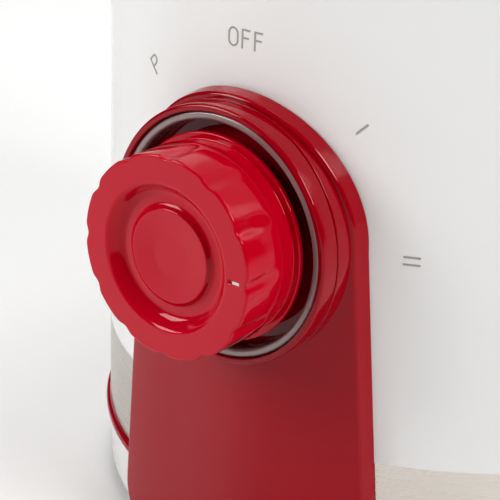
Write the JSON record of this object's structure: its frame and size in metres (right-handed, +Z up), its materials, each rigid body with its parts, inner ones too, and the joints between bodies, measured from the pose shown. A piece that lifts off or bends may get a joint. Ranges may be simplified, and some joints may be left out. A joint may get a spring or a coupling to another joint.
{
  "type": "popcorn maker",
  "caption": "Round hot-air popcorn maker with a lobed dial on an arched panel, a steel band, a fan and heater inside, a popping chamber, a lift-off hood with a chute and a cup.",
  "frame": {"origin": "on the table, at the middle of the footprint's length and width", "axes": "+Z up along the round body's axis; the dial and the chute face -Y; +X is to the right as seen from the front"},
  "size_m": [0.1954, 0.2416, 0.2992],
  "materials": {
    "white_abs": "gloss",
    "grey_abs": "fine texture",
    "satin_steel": "satin",
    "red_gloss": "high gloss",
    "knob_red": "gloss",
    "black_rubber": "matte",
    "zinc_steel": "zinc plated",
    "spring_steel": "polished",
    "grey_satin": "satin",
    "grey_ink": "pad printed",
    "cam_nylon": "moulded",
    "phenolic": "moulded",
    "contact_brass": "stamped",
    "chamber_aluminium": "drawn and anodised",
    "silicone": "soft matte",
    "galvanised": "galvanised",
    "mica": "laminated sheet",
    "heater_wire": "oxidised",
    "heat_plastic": "glass filled",
    "black_nylon": "moulded",
    "copper_winding": "enamelled",
    "bearing_bronze": "sintered",
    "carbon": "pressed",
    "board_green": "solder mask",
    "lead_pvc": "extruded",
    "clear_hood": "clear moulded"
  },
  "bodies": {
    "body": {"housing": "white_abs", "lower_housing": "grey_abs", "steel_band": "satin_steel", "base_ring": "red_gloss", "bottom_cover": "white_abs", "feet": "black_rubber", "base_screws": "zinc_steel", "control_panel": "red_gloss", "panel_screws": "zinc_steel", "dial_collar": "red_gloss", "dial_ring": "grey_satin", "dial_marks": "grey_ink", "switch_body": "phenolic", "switch_cover": "phenolic", "switch_contacts": "contact_brass", "switch_nut": "zinc_steel", "detent_ball": "spring_steel", "detent_spring": "spring_steel", "top_deck": "white_abs", "top_trim": "red_gloss", "deck_screws": "zinc_steel", "popping_chamber": "chamber_aluminium", "chamber_seal": "silicone", "heater_shell": "galvanised", "heater_former": "mica", "heater_coil": "heater_wire", "thermostat": "zinc_steel", "thermal_fuse": "contact_brass", "fan_housing": "heat_plastic", "motor_can": "galvanised", "motor_end_cap": "black_nylon", "upper_bearing": "bearing_bronze", "lower_bearing": "bearing_bronze", "brushes": "carbon", "motor_bracket": "galvanised", "motor_mounts": "black_rubber", "motor_screws": "zinc_steel", "rectifier_board": "board_green", "terminal_block": "cam_nylon", "lead_set": "lead_pvc", "cord_gland": "black_rubber"},
    "dial": {"knob": "knob_red", "knob_clip": "spring_steel", "switch_shaft": "zinc_steel", "switch_cam": "cam_nylon"},
    "rotor": {"motor_shaft": "spring_steel", "fan_wheel": "black_nylon", "fan_nut": "zinc_steel", "armature": "copper_winding", "commutator": "copper_winding"},
    "hood": {"hood": "clear_hood", "hood_grips": "red_gloss"},
    "measuring_cup": {"measuring_cup": "red_gloss"}
  },
  "joints": [
    {"name": "dial_turn", "type": "hinge", "parent": "body", "child": "dial", "pos_m": [0, -0.07725, 0.1], "axis": [0, -1, 0], "range_deg": [0, 135]},
    {"name": "fan_spin", "type": "hinge", "parent": "body", "child": "rotor", "pos_m": [0, 0.01925, 0.06], "axis": [0, 0, 1], "continuous": true},
    {"name": "hood_lift", "type": "slide", "parent": "body", "child": "hood", "axis": [0, 0, 1], "range_m": [0, 0.08]},
    {"name": "cup_lift", "type": "slide", "parent": "hood", "child": "measuring_cup", "axis": [0, 0, 1], "range_m": [0, 0.06]}
  ]
}
